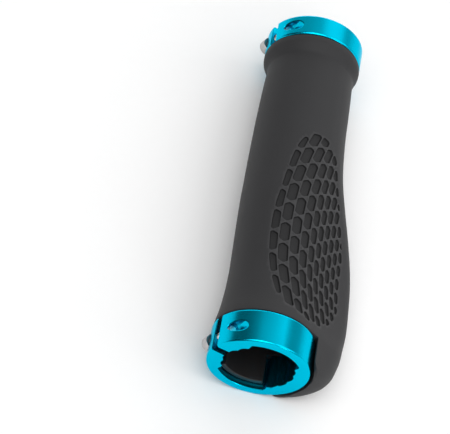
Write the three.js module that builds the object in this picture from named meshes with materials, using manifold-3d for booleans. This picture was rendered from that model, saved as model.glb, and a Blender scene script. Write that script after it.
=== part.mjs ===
// Handlebar grip: a winged rubber cover on a hard sleeve, held to the bar by a split lock ring and a pinch
// bolt at each end. Millimetres. The bar runs along Y with the open end at -Y, and the origin is on the bar's
// axis, midway between the end faces. The grip lies on its two rings and the tip of its wing.
import * as THREE from 'three';
import { mergeVertices } from 'three/addons/utils/BufferGeometryUtils.js';
import Module from 'manifold-3d';

const wasm = await Module();
wasm.setup();

// Overall size and clearances
const barRadius = 11.1;
const gripLength = 130;
const seatGap = 0.3;

// Lock rings: split, with two toothed lands in the bore and two plain notches whose ends slope
const ringWall = 3.2;
const outerRingWidth = 11.5;
const innerRingWidth = 8;
const ringChamfer = 0.4;
const landBarGap = 0.1;
const toothDepth = 0.6;
const landHalfAngle = Math.PI / 4;
const teethPerLand = 4;
const stepsPerTooth = 3;
const notchSlope = 0.08;
const slotWidth = 2.8;

// Sleeve: a tube with two lugs at each end, which sit in the rings' notches
const sleeveBarGap = 0.15;
const sleeveWall = 1.75;
const lugRecess = 2;

// Pinch bolts: they cross the slot, head on one side and thread on the other
const boltRadius = 1.5;
const boltLength = 11;
const boltDepth = 2.6;
const boltHeadRadius = 2.75;
const boltHeadHeight = 3;
const boltEdge = 0.3;
const socketWidth = 2.5;
const socketDepth = 1.6;
const headSeatOffset = 5.6;
const holeChamfer = 0.2;

// Cover across the bar: a round body and a smaller round wing tip, joined by two flat flanks
const flankAngle = THREE.MathUtils.degToRad(69.5);

// Cover along the bar, as [distance from the open end, size]: wall of the body, and rise of the wing past it
const wallProfile = [
  [0, ringWall], [7, ringWall], [12, 2.9], [18, 2], [25, 1.45], [32, 1.25],
  [40, 1.45], [55, 1.95], [69, 2.1], [95, 1.95], [108, 1.6], [114, 1.35], [122, 1.3],
];
const wingProfile = [
  [0, 7.7], [6, 8.6], [13, 11.4], [22, 13.6], [31, 13.8], [43, 12.05],
  [55, 8.45], [65, 5.05], [75, 2.2], [89, 0.6], [103, 0.4], [122, 0.6],
];
const wingEndRound = 6.6;
const wrapGap = 1;
const wrapCorner = 4.4;
const flareWidth = 6.4;
const flareLip = 1.7;
const flareRound = 0.4;

// Honeycomb patch on each flank: its border as [distance from the open end, arc from the wing's tip]. Its
// cells stand in bowed columns, half a cell apart from one column to the next, and are smaller near the tip.
const patchProfile = [
  [14.9, 26], [15.6, 32], [18, 38.5], [25, 41.7], [34, 43.9], [44, 44.4], [54, 42.2], [64, 38.6],
  [74, 34.2], [81, 29.6], [83, 25], [81.4, 20.3], [75.5, 16.5], [66, 14.3], [54, 13.3], [42, 12.6],
  [32, 11.5], [25.5, 13], [20, 16.2], [16.8, 20],
];
const cellPitch = 6.6;
const cellPitchGrowth = 0.35;
const columnPitch = 3.3;
const columnPitchGrowth = 0.14;
const ribWidth = 0.65;
const cellPoint = 1;
const pocketDepth = 0.65;
const pocketDraft = 0.12;
const columnBowRadius = 59;
const columnBowPlace = 38.6;
const columnBowArc = 29;
const leastCellArea = 1.8;

// Facet counts
const pointsPerHalf = 20;
const stationCount = 17;
const endStationCount = 5;
const flareSteps = 4;
const roundSegments = 48;
const boltSegments = 16;
const borderSegments = 34;

// Sizes and places that follow from those above
const landTipRadius = barRadius + landBarGap;
const landValleyRadius = landTipRadius + toothDepth;
const sleeveBoreRadius = barRadius + sleeveBarGap;
const sleeveRadius = sleeveBoreRadius + sleeveWall;
const notchRadius = sleeveRadius + seatGap;
const coverBoreRadius = sleeveRadius + seatGap;
const ringRadius = notchRadius + ringWall;
const boltOffset = ringRadius - boltDepth;
const wrapRadius = ringRadius + wrapGap;
const halfLength = gripLength / 2;
const outerRingBackY = -halfLength + outerRingWidth;
const innerRingBackY = halfLength - innerRingWidth;
const wingEndY = -halfLength;
const coverStartY = outerRingBackY + seatGap;
const coverEndY = innerRingBackY - seatGap;
const flareStartY = coverEndY - flareWidth;
const lipStartY = coverEndY - flareLip;
const edgeStartY = coverEndY - flareRound;
const throughAll = 4 * ringRadius;

// Solids and meshes
function toSolid(geometry) {
  const bare = geometry.clone();
  bare.deleteAttribute('normal');
  bare.deleteAttribute('uv');
  const merged = mergeVertices(bare);
  const corners = merged.index.array;
  const kept = [];
  for (let i = 0; i < corners.length; i += 3) {
    const [a, b, c] = [corners[i], corners[i + 1], corners[i + 2]];
    if (a !== b && b !== c && c !== a) kept.push(a, b, c);
  }
  const mesh = new wasm.Mesh({
    numProp: 3,
    vertProperties: new Float32Array(merged.attributes.position.array),
    triVerts: new Uint32Array(kept),
  });
  return new wasm.Manifold(mesh);
}

function toGeometry(solid) {
  const { vertProperties, triVerts } = solid.getMesh();
  const geometry = new THREE.BufferGeometry();
  geometry.setAttribute('position', new THREE.BufferAttribute(vertProperties, 3));
  geometry.setIndex(new THREE.BufferAttribute(triVerts, 1));
  geometry.computeVertexNormals();
  return geometry;
}

function part(name, solid, material) {
  const mesh = new THREE.Mesh(toGeometry(solid), material);
  mesh.name = name;
  return mesh;
}

// An outline in X and Z, pushed along the bar from startY to endY
function alongBar(shape, startY, endY) {
  const geometry = new THREE.ExtrudeGeometry(shape, {
    depth: endY - startY, bevelEnabled: false, curveSegments: roundSegments,
  });
  geometry.rotateX(Math.PI / 2);
  geometry.translate(0, endY, 0);
  return toSolid(geometry);
}

// A profile of [radius, y] points turned about the bar's axis
function turned(profile, segments = roundSegments) {
  const points = profile.map(([radius, y]) => new THREE.Vector2(radius, y));
  return toSolid(new THREE.LatheGeometry(points, segments));
}

function rod(radius, startY, endY) {
  return turned([[0, startY], [radius, startY], [radius, endY], [0, endY]]);
}

function polar(radius, angle) {
  return [radius * Math.cos(angle), radius * Math.sin(angle)];
}

// Lock rings
function boreRadiusInLand(share) {
  const inTooth = (share * teethPerLand) % 1;
  return landTipRadius + (landValleyRadius - landTipRadius) * Math.sin(Math.PI * inTooth);
}

function landPoints(centreAngle, fromShare, toShare) {
  const steps = Math.round(teethPerLand * stepsPerTooth * (toShare - fromShare));
  const points = [];
  for (let i = 0; i <= steps; i += 1) {
    const share = fromShare + (toShare - fromShare) * (i / steps);
    const angle = centreAngle + landHalfAngle * (1 - 2 * share);
    points.push(polar(boreRadiusInLand(share), angle));
  }
  return points;
}

function notchPoints(fromAngle, toAngle) {
  const steps = roundSegments / 8;
  const points = [];
  for (let i = 0; i <= steps; i += 1) {
    points.push(polar(notchRadius, fromAngle + (toAngle - fromAngle) * (i / steps)));
  }
  return points;
}

// The ring's face: slot at -X, toothed lands at -X and +X, notches above and below
function ringShape() {
  const halfSlot = slotWidth / 2;
  const notchStart = landHalfAngle + notchSlope;
  const outerEdge = Math.PI - Math.asin(halfSlot / ringRadius);
  const shape = new THREE.Shape();
  shape.absarc(0, 0, ringRadius, -outerEdge, outerEdge, false);
  const inner = [
    ...landPoints(Math.PI, 0.5, 1),
    ...notchPoints(Math.PI - notchStart, notchStart),
    ...landPoints(0, 0, 1),
    ...notchPoints(-notchStart, notchStart - Math.PI),
    ...landPoints(-Math.PI, 0, 0.5),
  ];
  inner.forEach(([x, z]) => {
    const inSlot = x < 0 && Math.abs(z) < halfSlot;
    if (!inSlot) shape.lineTo(x, z);
  });
  return shape;
}

// A cylinder across the ring at the bolt's place, from one distance off the slot's middle to another
function boltCylinder(radius, fromZ, toZ, y, endRadius = radius) {
  const length = toZ - fromZ;
  const geometry = new THREE.CylinderGeometry(endRadius, radius, length, boltSegments);
  geometry.rotateX(Math.PI / 2);
  geometry.translate(-boltOffset, y, fromZ + length / 2);
  return toSolid(geometry);
}

function lockRing(faceY, backY) {
  const [startY, endY] = [Math.min(faceY, backY), Math.max(faceY, backY)];
  const middleY = (startY + endY) / 2;
  const chamfered = turned([
    [0, startY], [ringRadius - ringChamfer, startY], [ringRadius, startY + ringChamfer],
    [ringRadius, endY - ringChamfer], [ringRadius - ringChamfer, endY], [0, endY],
  ]);
  const holeRadius = boltRadius + seatGap;
  const exitZ = Math.sqrt(ringRadius ** 2 - (boltOffset + holeRadius) ** 2);
  const countersinkZ = Math.sqrt(ringRadius ** 2 - boltOffset ** 2);
  const wideRadius = holeRadius + holeChamfer;
  return alongBar(ringShape(), startY, endY)
    .intersect(chamfered)
    .subtract(boltCylinder(holeRadius, -throughAll, throughAll, middleY))
    .subtract(boltCylinder(boltHeadRadius + seatGap, -throughAll, -headSeatOffset, middleY))
    .subtract(boltCylinder(holeRadius, exitZ, countersinkZ, middleY, wideRadius))
    .subtract(boltCylinder(wideRadius, countersinkZ, throughAll, middleY));
}

// Pinch bolts: turned about Y with the head up, then laid across the ring with the head at -Z
function pinchBolt(faceY, backY) {
  const body = turned([
    [0, -boltLength], [boltRadius - boltEdge, -boltLength], [boltRadius, boltEdge - boltLength],
    [boltRadius, 0], [boltHeadRadius, 0], [boltHeadRadius, boltHeadHeight - boltEdge],
    [boltHeadRadius - boltEdge, boltHeadHeight], [0, boltHeadHeight],
  ], boltSegments);
  const hexRadius = socketWidth / Math.sqrt(3);
  const hex = new THREE.CylinderGeometry(hexRadius, hexRadius, 2 * socketDepth, 6);
  hex.translate(0, boltHeadHeight, 0);
  const geometry = toGeometry(body.subtract(toSolid(hex)));
  geometry.rotateX(-Math.PI / 2);
  geometry.translate(-boltOffset, (faceY + backY) / 2, -headSeatOffset - seatGap);
  return toSolid(geometry);
}

// Sleeve: one tube, cut back at each end beside the lugs to let the rings' lands reach the bar
function innerSleeve() {
  const startY = -halfLength + lugRecess;
  const endY = halfLength - lugRecess;
  const tube = turned([
    [sleeveBoreRadius, startY], [sleeveRadius, startY], [sleeveRadius, endY],
    [sleeveBoreRadius, endY], [sleeveBoreRadius, startY],
  ]);
  const windowHalfAngle = landHalfAngle + notchSlope + seatGap / landTipRadius;
  const reach = 2 * sleeveRadius;
  return [0, Math.PI].reduce((solid, angle) => {
    const wedge = new THREE.Shape([
      new THREE.Vector2(0, 0),
      new THREE.Vector2(...polar(reach, angle - windowHalfAngle)),
      new THREE.Vector2(...polar(reach * Math.SQRT2, angle)),
      new THREE.Vector2(...polar(reach, angle + windowHalfAngle)),
    ]);
    return solid
      .subtract(alongBar(wedge, -gripLength, outerRingBackY + seatGap))
      .subtract(alongBar(wedge, innerRingBackY - seatGap, gripLength));
  }, tube);
}

// Cover skin
function profileCurve(points) {
  const places = Float32Array.from(points, ([place]) => place);
  const sizes = Float32Array.from(points, ([, size]) => size);
  const curve = new THREE.CubicInterpolant(places, sizes, 1, new Float32Array(1));
  return (place) => curve.evaluate(place)[0];
}

const wallAt = profileCurve(wallProfile);
const wingAt = profileCurve(wingProfile);

// At the inner end the body flares out to the ring's size in a soft S and ends in a short straight lip
function section(y) {
  const place = y - wingEndY;
  const climb = THREE.MathUtils.smoothstep(y, flareStartY, lipStartY);
  const edge = Math.max(y - edgeStartY, 0);
  const body = THREE.MathUtils.lerp(coverBoreRadius + wallAt(place), ringRadius, climb) - edge;
  const pastRound = THREE.MathUtils.clamp(1 - place / wingEndRound, 0, 1);
  const rounding = wingEndRound * (1 - Math.sqrt(1 - pastRound ** 2));
  const rise = Math.max(wingAt(place) * (1 - climb) - rounding, 0);
  const lean = Math.cos(flankAngle);
  const centre = rise / (1 - lean);
  const tip = body - lean * centre;
  const tipArc = tip * flankAngle;
  const flank = centre * Math.sin(flankAngle);
  return { body, centre, tip, tipArc, flank, half: tipArc + flank + body * (Math.PI - flankAngle) };
}

// The skin's point at an arc length from the wing's tip, round either side, lifted off along its normal
function skinPoint(arc, y, lift = 0) {
  const { body, centre, tip, tipArc, flank } = section(y);
  const run = Math.abs(arc);
  const pastTip = run - tipArc;
  const point = new THREE.Vector2();
  let turn = flankAngle;
  if (pastTip < 0) {
    turn = run / tip;
    point.set(centre + tip * Math.cos(turn), tip * Math.sin(turn));
  } else if (pastTip < flank) {
    point.set(centre + tip * Math.cos(turn) - pastTip * Math.sin(turn),
      tip * Math.sin(turn) + pastTip * Math.cos(turn));
  } else {
    turn += (pastTip - flank) / body;
    point.set(body * Math.cos(turn), body * Math.sin(turn));
  }
  const side = arc < 0 ? -1 : 1;
  return new THREE.Vector3(
    point.x + lift * Math.cos(turn), y, side * (point.y + lift * Math.sin(turn)));
}

function spread(from, to, steps) {
  return Array.from({ length: steps }, (_, i) => from + (to - from) * (i / steps));
}

function stationPlaces() {
  const roundEndY = wingEndY + wingEndRound;
  return [
    ...spread(0, Math.PI / 2, endStationCount).map((turn) => roundEndY - wingEndRound * Math.cos(turn)),
    ...spread(roundEndY, flareStartY, stationCount),
    ...spread(flareStartY, lipStartY, flareSteps),
    lipStartY, edgeStartY, coverEndY,
  ];
}

function coverLoft() {
  const around = 2 * pointsPerHalf;
  const stations = stationPlaces();
  const positions = [];
  const index = [];
  stations.forEach((y) => {
    const { half } = section(y);
    for (let i = 0; i < around; i += 1) {
      positions.push(...skinPoint(half * (i / pointsPerHalf - 1), y).toArray());
    }
  });
  const last = stations.length - 1;
  for (let row = 0; row < last; row += 1) {
    for (let i = 0; i < around; i += 1) {
      const next = (i + 1) % around;
      const [a, b] = [row * around + i, row * around + next];
      const [c, d] = [a + around, b + around];
      index.push(a, d, b, a, c, d);
    }
  }
  const startCentre = positions.length / 3;
  positions.push(0, stations[0], 0, 0, stations[last], 0);
  for (let i = 0; i < around; i += 1) {
    const next = (i + 1) % around;
    index.push(startCentre, i, next);
    index.push(startCentre + 1, last * around + next, last * around + i);
  }
  const geometry = new THREE.BufferGeometry();
  geometry.setAttribute('position', new THREE.Float32BufferAttribute(positions, 3));
  geometry.setIndex(index);
  return toSolid(geometry);
}

// Honeycomb patch: outlines are in [arc, y] on the skin, and the border runs counter-clockwise
function patchBorder() {
  const points = patchProfile.map(([place, arc]) => new THREE.Vector3(arc, wingEndY + place, 0));
  const curve = new THREE.CatmullRomCurve3(points, true);
  return curve.getPoints(borderSegments).slice(1).map(({ x, y }) => [x, y]);
}

function between(from, to, share) {
  return [from[0] + (to[0] - from[0]) * share, from[1] + (to[1] - from[1]) * share];
}

function clipToEdge(outline, [fromArc, fromY], [toArc, toY]) {
  const [edgeArc, edgeY] = [toArc - fromArc, toY - fromY];
  const room = outline.map(([arc, y]) => edgeArc * (y - fromY) - edgeY * (arc - fromArc));
  const kept = [];
  outline.forEach((point, i) => {
    const before = (i + outline.length - 1) % outline.length;
    if ((room[i] > 0) !== (room[before] > 0)) {
      kept.push(between(outline[before], point, room[before] / (room[before] - room[i])));
    }
    if (room[i] > 0) kept.push(point);
  });
  return kept;
}

function clipTo(border, outline) {
  return border.reduce((kept, to, i) => clipToEdge(kept, border.at(i - 1), to), outline);
}

function outlineArea(outline) {
  const points = outline.map(([arc, y]) => new THREE.Vector2(arc, y));
  return THREE.ShapeUtils.area(points);
}

function cellOutline(column, row) {
  const pitch = cellPitch + cellPitchGrowth * column;
  const halfWidth = (columnPitch + columnPitchGrowth * column - ribWidth) / 2;
  const halfCell = (pitch - ribWidth) / 2;
  const shoulder = halfCell - cellPoint;
  const corners = [
    [halfWidth, -shoulder], [halfWidth, shoulder], [0, halfCell],
    [-halfWidth, shoulder], [-halfWidth, -shoulder], [0, -halfCell],
  ];
  const stagger = column % 2 === 0 ? 0 : 0.5;
  const pastBow = (row + stagger) * pitch;
  const lean = pastBow / columnBowRadius;
  const columnArc = columnBowArc + columnPitch * column + (columnPitchGrowth * column ** 2) / 2;
  const centreArc = columnArc - (lean * pastBow) / 2;
  const centreY = wingEndY + columnBowPlace + pastBow;
  return corners.map(([across, along]) => [centreArc + across - lean * along, centreY + along]);
}

function patchOutlines() {
  const border = patchBorder();
  const size = new THREE.Box2().setFromPoints(border.map((point) => new THREE.Vector2(...point)))
    .getSize(new THREE.Vector2());
  const columns = Math.ceil(size.x / columnPitch);
  const rows = Math.ceil(size.y / cellPitch);
  const outlines = [];
  for (let column = -columns; column <= columns; column += 1) {
    for (let row = -rows; row <= rows; row += 1) {
      const outline = clipTo(border, cellOutline(column, row));
      if (outline.length > 2 && outlineArea(outline) > leastCellArea) outlines.push(outline);
    }
  }
  return outlines;
}

// One pocket: the outline sunk below the skin and raised above it, a little wider towards the top
function pocketGeometry(outline, side) {
  const count = outline.length;
  const middle = outline.reduce(
    (sum, [arc, y]) => [sum[0] + arc / count, sum[1] + y / count], [0, 0]);
  const positions = [];
  const layer = (lift) => {
    const widening = 1 + (pocketDraft * lift) / pocketDepth;
    outline.forEach((point) => {
      const [arc, y] = between(middle, point, widening);
      positions.push(...skinPoint(side * arc, y, lift).toArray());
    });
  };
  layer(-pocketDepth);
  layer(pocketDepth);
  const faces = [];
  for (let low = 0; low < count; low += 1) {
    const lowNext = (low + 1) % count;
    const [high, highNext] = [low + count, lowNext + count];
    faces.push([low, high, highNext], [low, highNext, lowNext]);
    if (low > 0 && lowNext > 0) faces.push([0, low, lowNext], [count, highNext, high]);
  }
  const index = faces.flatMap(([a, b, c]) => (side > 0 ? [a, b, c] : [a, c, b]));
  const geometry = new THREE.BufferGeometry();
  geometry.setAttribute('position', new THREE.Float32BufferAttribute(positions, 3));
  geometry.setIndex(index);
  return geometry;
}

function cutPockets(cover) {
  const outlines = patchOutlines();
  return [1, -1].reduce((solid, side) => outlines.reduce(
    (left, outline) => left.subtract(toSolid(pocketGeometry(outline, side))), solid), cover);
}

// The wing wraps the outer ring's rim. Its two side edges run along the bar and turn in at the open end.
function wrapTrim() {
  const edgeX = wrapRadius * Math.cos(landHalfAngle);
  const turnY = wingEndY + wrapCorner;
  const outline = new THREE.Shape();
  outline.moveTo(edgeX, coverStartY);
  outline.lineTo(edgeX, turnY);
  outline.absarc(edgeX + wrapCorner, turnY, wrapCorner, Math.PI, 1.5 * Math.PI, false);
  outline.lineTo(edgeX + wrapCorner, wingEndY - wrapCorner);
  outline.lineTo(-throughAll, wingEndY - wrapCorner);
  outline.lineTo(-throughAll, coverStartY);
  const geometry = new THREE.ExtrudeGeometry(outline, {
    depth: throughAll, bevelEnabled: false, curveSegments: roundSegments / 8,
  });
  geometry.translate(0, 0, -throughAll / 2);
  return toSolid(geometry);
}

function gripCover() {
  const body = coverLoft()
    .subtract(rod(coverBoreRadius, -gripLength, gripLength))
    .subtract(rod(wrapRadius, -gripLength, coverStartY))
    .subtract(wrapTrim());
  return cutPockets(body);
}

// How far the wing droops, which brings its lowest point down to the level of the rings
function wingDroop(cover) {
  const corners = cover.geometry.attributes.position;
  let droop = Math.PI / 2;
  for (let i = 0; i < corners.count; i += 1) {
    const [x, z] = [corners.getX(i), corners.getZ(i)];
    const radius = Math.hypot(x, z);
    const below = Math.atan2(-z, x);
    const pastRings = radius > ringRadius + seatGap && x > 0 && z < 0;
    if (pastRings) droop = Math.min(droop, Math.asin(ringRadius / radius) - below);
  }
  return droop;
}

const rubber = new THREE.MeshStandardMaterial({ color: 0x3a3a3c, roughness: 0.85, metalness: 0 });
const nylon = new THREE.MeshStandardMaterial({ color: 0x191616, roughness: 0.6, metalness: 0 });
const anodised = new THREE.MeshStandardMaterial({ color: 0x00b8d8, roughness: 0.3, metalness: 1 });
const steel = new THREE.MeshStandardMaterial({ color: 0xa8a8aa, roughness: 0.35, metalness: 1 });

const cover = part('grip_cover', gripCover(), rubber);
const grip = new THREE.Group();
grip.add(
  cover,
  part('inner_sleeve', innerSleeve(), nylon),
  part('outer_lock_ring', lockRing(-halfLength, outerRingBackY), anodised),
  part('inner_lock_ring', lockRing(halfLength, innerRingBackY), anodised),
  part('outer_pinch_bolt', pinchBolt(-halfLength, outerRingBackY), steel),
  part('inner_pinch_bolt', pinchBolt(halfLength, innerRingBackY), steel),
);
grip.rotation.y = wingDroop(cover);

const group = new THREE.Group();
group.add(grip);

export default group;
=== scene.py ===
import math

import bmesh
import bpy
import numpy as np
from mathutils import Matrix, Vector
from mathutils.geometry import delaunay_2d_cdt


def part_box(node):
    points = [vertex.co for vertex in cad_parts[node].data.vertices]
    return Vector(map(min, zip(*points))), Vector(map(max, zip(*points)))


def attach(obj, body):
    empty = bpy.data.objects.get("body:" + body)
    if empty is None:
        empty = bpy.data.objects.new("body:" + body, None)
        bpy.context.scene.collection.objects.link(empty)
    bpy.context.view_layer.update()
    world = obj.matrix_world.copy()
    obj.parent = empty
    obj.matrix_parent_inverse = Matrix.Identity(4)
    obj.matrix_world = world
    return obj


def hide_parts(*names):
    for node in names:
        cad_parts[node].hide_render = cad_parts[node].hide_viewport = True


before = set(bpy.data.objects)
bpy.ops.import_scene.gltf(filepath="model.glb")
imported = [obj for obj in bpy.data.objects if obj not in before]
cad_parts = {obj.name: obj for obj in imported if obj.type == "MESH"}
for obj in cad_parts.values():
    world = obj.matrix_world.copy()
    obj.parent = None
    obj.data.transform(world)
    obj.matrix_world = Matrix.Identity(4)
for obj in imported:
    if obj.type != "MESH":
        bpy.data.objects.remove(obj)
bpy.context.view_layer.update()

# The looks of a lock-on handlebar grip. Every piece is shaped in millimetres in the grip's own frame: the bar
# along Y with the open end at -Y, the wing towards +X. finish_piece then turns it to the way the grip lies,
# and into metres. Sizes that the CAD model holds are measured from its nodes.
MM = 0.001
SAME_PLACE = 1e-4

# Edges that turn by more degrees than this stay sharp
CREASE = 35
COVER_CREASE = 60


def corners(node):
    points = np.empty(3 * len(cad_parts[node].data.vertices))
    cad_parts[node].data.vertices.foreach_get("co", points)
    return points.reshape(-1, 3) / MM


def reaches(node):
    return np.hypot(corners(node)[:, 0], corners(node)[:, 2])


def span(node):
    low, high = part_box(node)
    return low[1] / MM, high[1] / MM


def wing_droop():
    x, _, z = corners("grip_cover")[np.argmax(reaches("grip_cover"))]
    return math.atan2(-z, x)


# Gap between pieces that sit together
SEAT_GAP = 0.3

# Sizes measured from the CAD model
DROOP = wing_droop()
RING_RADIUS = reaches("outer_lock_ring").max()
LAND_RADIUS = reaches("outer_lock_ring").min()
SLEEVE_BORE = reaches("inner_sleeve").min()
SLEEVE_RADIUS = reaches("inner_sleeve").max()
COVER_BORE = SLEEVE_RADIUS + SEAT_GAP
END_Y, OUTER_RING_BACK_Y = span("outer_lock_ring")
INNER_RING_BACK_Y = span("inner_lock_ring")[0]
COVER_START_Y = OUTER_RING_BACK_Y + SEAT_GAP
COVER_END_Y = INNER_RING_BACK_Y - SEAT_GAP

# Cover across the bar: a round body and a smaller round wing tip, joined by two flat flanks
FLANK_ANGLE = math.radians(69.5)

# Cover along the bar, as (distance from the open end, size): wall of the body, rise of the wing beyond it
RING_WALL = RING_RADIUS - COVER_BORE
WALL_PROFILE = [
    (0, RING_WALL), (7, RING_WALL), (12, 2.9), (18, 2), (25, 1.45), (32, 1.25),
    (40, 1.45), (55, 1.95), (69, 2.1), (95, 1.95), (108, 1.6), (114, 1.35), (122, 1.3),
]
WING_PROFILE = [
    (0, 7.4), (6, 9.1), (13, 11.4), (22, 13.6), (31, 13.8), (43, 12.05),
    (55, 8.45), (65, 5.05), (75, 2.2), (89, 0.6), (103, 0.4), (122, 0.6),
]
WING_END_ROUND = 6.6
WRAP_RADIUS = RING_RADIUS + 1
WRAP_HALF_ANGLE = math.pi / 4
WRAP_CORNER = 4.4
FLARE_START_Y = COVER_END_Y - 6.4
LIP_START_Y = COVER_END_Y - 1.7

# Rounding of the cover's cut edges
END_LIP = 0.5
COLLAR_LIP = 0.4
WRAP_LIP = 0.15
LIP_BLEND = 3

# Honeycomb patch on each flank: its border as (distance from the open end, arc from the wing's tip). The
# cells stand in columns, half a cell apart from one column to the next, and are smaller near the tip. The
# columns bow as far as the bow's end, and run on straight past it.
PATCH_PROFILE = [
    (14.9, 26), (15.6, 32), (17.6, 38.8), (24.8, 42.1), (34, 43.8), (44, 44), (54, 42), (64, 38.3),
    (74, 34.4), (80.6, 30.5), (82.7, 26), (81.6, 20.4), (76, 15.9), (66, 13.3), (54, 12.5), (42, 12.4),
    (32, 11.6), (25.5, 13), (20, 16.1), (16.8, 20),
]
BORDER_STEPS = 4
CELL_PITCH = 6.6
CELL_PITCH_GROWTH = 0.35
COLUMN_PITCH = 3.3
COLUMN_PITCH_GROWTH = 0.14
RIB_WIDTH = 0.5
CELL_POINT = 0.9
COLUMN_BOW_RADIUS = 59
COLUMN_BOW_PLACE = 38.6
COLUMN_BOW_ARC = 29
COLUMN_BOW_END = 24.8
CELL_ROUND = 0.75
CELL_COUNT = 14
LEAST_CELL_AREA = 1.8

# A small cell is rounded by the largest of these shares of CELL_ROUND that leaves it enough of a core
CORNER_SHARES = (1, 0.85, 0.7, 0.55, 0.4, 0.28, 0.18)
LEAST_CORE_SHARE = 0.08

# Steps along a cell's rounded outline, and the edges that are too short to count
CORNER_STEP = math.radians(24)
CELL_STEP = 1.2
SHORT_EDGE = 0.03
NO_EDGE = 1e-6
TRIANGLE_GAP = 1e-5

# A pocket's wall from its lip to its floor, as (distance in from the outline, depth). The wall keeps inside
# the rounding of the pocket's corners: where they are tight it is narrower, and shallower past that.
POCKET_PROFILE = [
    (-0.12, 0), (-0.05, 0.02), (0, 0.08), (0.03, 0.22),
    (0.07, 0.44), (0.13, 0.57), (0.24, 0.64), (0.38, 0.66),
]
POCKET_DEPTH = 0.66
WALL_ROOM = 1.2
SHALLOWING = 2

# Parting line along the wing's tip
PARTING_HEIGHT = 0.07
PARTING_WIDTH = 0.14
PARTING_FADE_Y = (-50, -30)

# Spacing of the cover's mesh. From the tip round to the seam it is at most about LONGEST_HALF, which turns
# millimetres into shares of the way.
GRID_STEP = 1.0
FLARE_STEP = 0.45
FINE_STEPS = (0, 0.06, 0.14, 0.26, 0.5)
PARTING_STEPS = (0.07, 0.16, 0.4)
COLUMN_GAP = 0.4
FLARE_MARGIN = 2
PATCH_MARGIN = 0.9
POCKET_MARGIN = 0.35
WRAP_ROWS = 28
LEAST_LIP = 1e-4
LONGEST_HALF = 60
ARC_SAMPLES = 3001

# Lock rings, with the turned edge of each end as (distance in from the round, distance from the end face)
CHAMFER_PROFILE = [(0.44, 0), (0.3, 0.05), (0.1, 0.3), (0, 0.6)]
BORE_CHAMFER = 0.15
SLOT_WIDTH = 2.8
SLOT_EDGE = 0.22
TOOTH_DEPTH = 0.6
TEETH_PER_LAND = 4
STEPS_PER_TOOTH = 14
LAND_HALF_ANGLE = math.pi / 4
NOTCH_SLOPE = 0.08
NOTCH_SLOPE_STEPS = 9
NOTCH_RADIUS = SLEEVE_RADIUS + SEAT_GAP
ON_ROUND = 0.005
LEAST_FACING = 0.99

# Pinch bolts
BOLT_RADIUS = 1.5
BOLT_LENGTH = 11
BOLT_OFFSET = RING_RADIUS - 2.6
THREAD_PITCH = 0.5
THREAD_DEPTH = 0.28
THREAD_LENGTH = 9.5
THREAD_FADE = 1
THREAD_ROWS = 8
RIDGE_SLOPE = 1.15
RIDGE_FLAT = 0.1
HEAD_RADIUS = 2.75
HEAD_HEIGHT = 3
HEAD_EDGE = 0.3
HEAD_EDGE_ROUND = 0.09
UNDERHEAD_EDGE = 0.08
SOCKET_WIDTH = 2.5
SOCKET_DEPTH = 1.6
SOCKET_POINT = (0.1, 0.6)
HEAD_SEAT = 5.6
RIM_CHAMFER = 0.34
ROUND_STEPS = 64

# How far a cutting tool reaches past what it cuts
PAST = 1

# Sleeve
SLEEVE_EDGE = 0.2
WINDOW_STEPS = 9
WINDOW_HALF_ANGLE = LAND_HALF_ANGLE + NOTCH_SLOPE + SEAT_GAP / LAND_RADIUS


class Body:
    """Rows of points and the faces between them, in millimetres in the grip's own frame."""

    def __init__(self):
        self.points = []
        self.reliefs = []
        self.faces = []

    def row(self, points, relief=0.0):
        """Adds points and gives their numbers. Relief is 1 on a rib, 0 on plain skin, -1 down in a pocket."""
        start = len(self.points)
        self.points.extend(tuple(point) for point in points)
        self.reliefs.extend(np.broadcast_to(relief, len(points)))
        return list(range(start, len(self.points)))

    def strip(self, first, second, closed=False):
        count = len(first)
        for i in range(count if closed else count - 1):
            j = (i + 1) % count
            self.faces.append((first[i], first[j], second[j], second[i]))

    def fan(self, row, centre, relief=0.0):
        hub = self.row([centre], relief)[0]
        self.faces.extend((row[i - 1], row[i], hub) for i in range(len(row)))

    def mesh(self, name):
        mesh = bpy.data.meshes.new(name)
        mesh.from_pydata(self.points, [], self.faces)
        if any(self.reliefs):
            relief = mesh.attributes.new("relief", "FLOAT", "POINT")
            relief.data.foreach_set("value", np.array(self.reliefs, dtype=np.float32))
        turn_out(mesh)
        return mesh


def turn_out(mesh):
    """Points every face outwards."""
    shell = bmesh.new()
    shell.from_mesh(mesh)
    bmesh.ops.remove_doubles(shell, verts=shell.verts, dist=SAME_PLACE)
    bmesh.ops.recalc_face_normals(shell, faces=shell.faces)
    shell.to_mesh(mesh)
    shell.free()


def add_object(name, mesh):
    piece = bpy.data.objects.new(name, mesh)
    bpy.context.scene.collection.objects.link(piece)
    return piece


def cut(piece, *tools):
    """Cuts the tools' shapes out of the piece and deletes them."""
    for tool in tools:
        boolean = piece.modifiers.new("cut", "BOOLEAN")
        boolean.operation = "DIFFERENCE"
        boolean.solver = "EXACT"
        boolean.object = tool
    evaluated = piece.evaluated_get(bpy.context.evaluated_depsgraph_get())
    done = bpy.data.meshes.new_from_object(evaluated)
    piece.modifiers.clear()
    piece.data = done
    for tool in tools:
        bpy.data.objects.remove(tool)


def finish_piece(piece, node, material, crease=CREASE):
    """Settles a piece where the CAD model lies, smooths it and lets it stand for its CAD node."""
    piece.data.transform(Matrix.Rotation(DROOP, 4, "Y"))
    piece.data.transform(Matrix.Scale(MM, 4))
    piece.data.polygons.foreach_set("use_smooth", [True] * len(piece.data.polygons))
    piece.data.set_sharp_from_angle(angle=math.radians(crease))
    piece.data.materials.clear()
    piece.data.materials.append(material)
    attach(piece, "root")
    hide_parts(node)


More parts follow.
